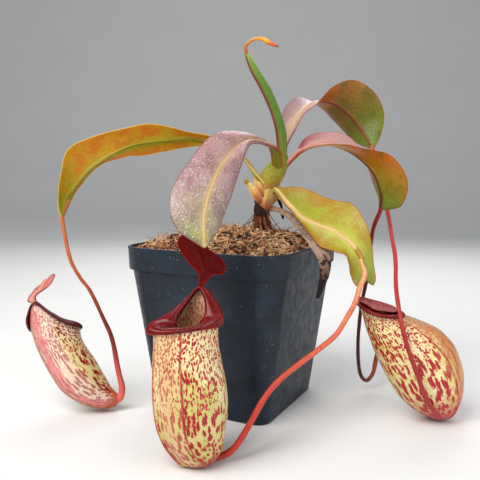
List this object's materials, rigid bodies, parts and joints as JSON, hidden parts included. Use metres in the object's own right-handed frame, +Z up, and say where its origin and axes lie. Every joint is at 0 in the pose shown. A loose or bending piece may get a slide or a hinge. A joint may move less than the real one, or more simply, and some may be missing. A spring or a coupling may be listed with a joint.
{
  "type": "potted tropical pitcher plant",
  "caption": "Tropical pitcher plant with arching leaves and pitchers that hang on long tendrils, growing in a small square nursery pot.",
  "frame": {"origin": "centre of the pot's base, on the surface it stands on", "axes": "+Z up, X and Y square to the pot's sides, -Y the pot's front side"},
  "size_m": [0.2273, 0.1787, 0.2129],
  "materials": {
    "pot_plastic": "dark blue-black moulded nursery plastic, lightly scuffed",
    "potting_mix": "coarse husk, bark and fibre with white perlite",
    "stem_bark": "ochre-brown fibrous stem with green leaf bases",
    "leaf_ochre": "waxy leaf, ochre to olive with a yellow midrib",
    "leaf_mauve": "silvery mauve waxy leaf with pale flecks and a pale midrib",
    "leaf_green": "yellow-green waxy leaf with orange edges",
    "leaf_olive": "waxy leaf, rosy above and olive-orange beneath, with a red midrib",
    "leaf_dry": "dry papery beige-brown with black ends",
    "tendril_coral": "smooth coral-red tendril",
    "tendril_wine": "smooth wine-red tendril",
    "pitcher_cream": "cream and yellow-green wall with crimson blotches",
    "lip_crimson": "glossy ribbed crimson lip",
    "lip_maroon": "glossy ribbed maroon lip",
    "lid_blood": "deep blood-red lid",
    "lid_rose": "rosy lid with a dark edge"
  },
  "bodies": {
    "root": {"pot": "pot_plastic", "soil": "potting_mix", "stem": "stem_bark", "leaf_left": "leaf_ochre", "leaf_front": "leaf_mauve", "leaf_low_right": "leaf_green", "leaf_right": "leaf_olive", "leaf_back": "leaf_olive", "leaf_spear": "leaf_green", "spear_tendril": "leaf_green", "leaf_dead": "leaf_dry", "dead_strip": "leaf_dry", "tendril_front": "tendril_coral", "tendril_left": "tendril_coral", "tendril_right": "tendril_coral", "tendril_young": "tendril_wine", "pitcher_cup_front": "pitcher_cream", "pitcher_cup_left": "pitcher_cream", "pitcher_cup_right": "pitcher_cream", "pitcher_young": "pitcher_cream", "pitcher_lip_front": "lip_crimson", "pitcher_lip_left": "lip_maroon", "pitcher_lip_right": "lip_maroon", "pitcher_lid_front": "lid_blood", "pitcher_lid_left": "lid_rose", "pitcher_lid_right": "lid_rose"}
  },
  "joints": []
}
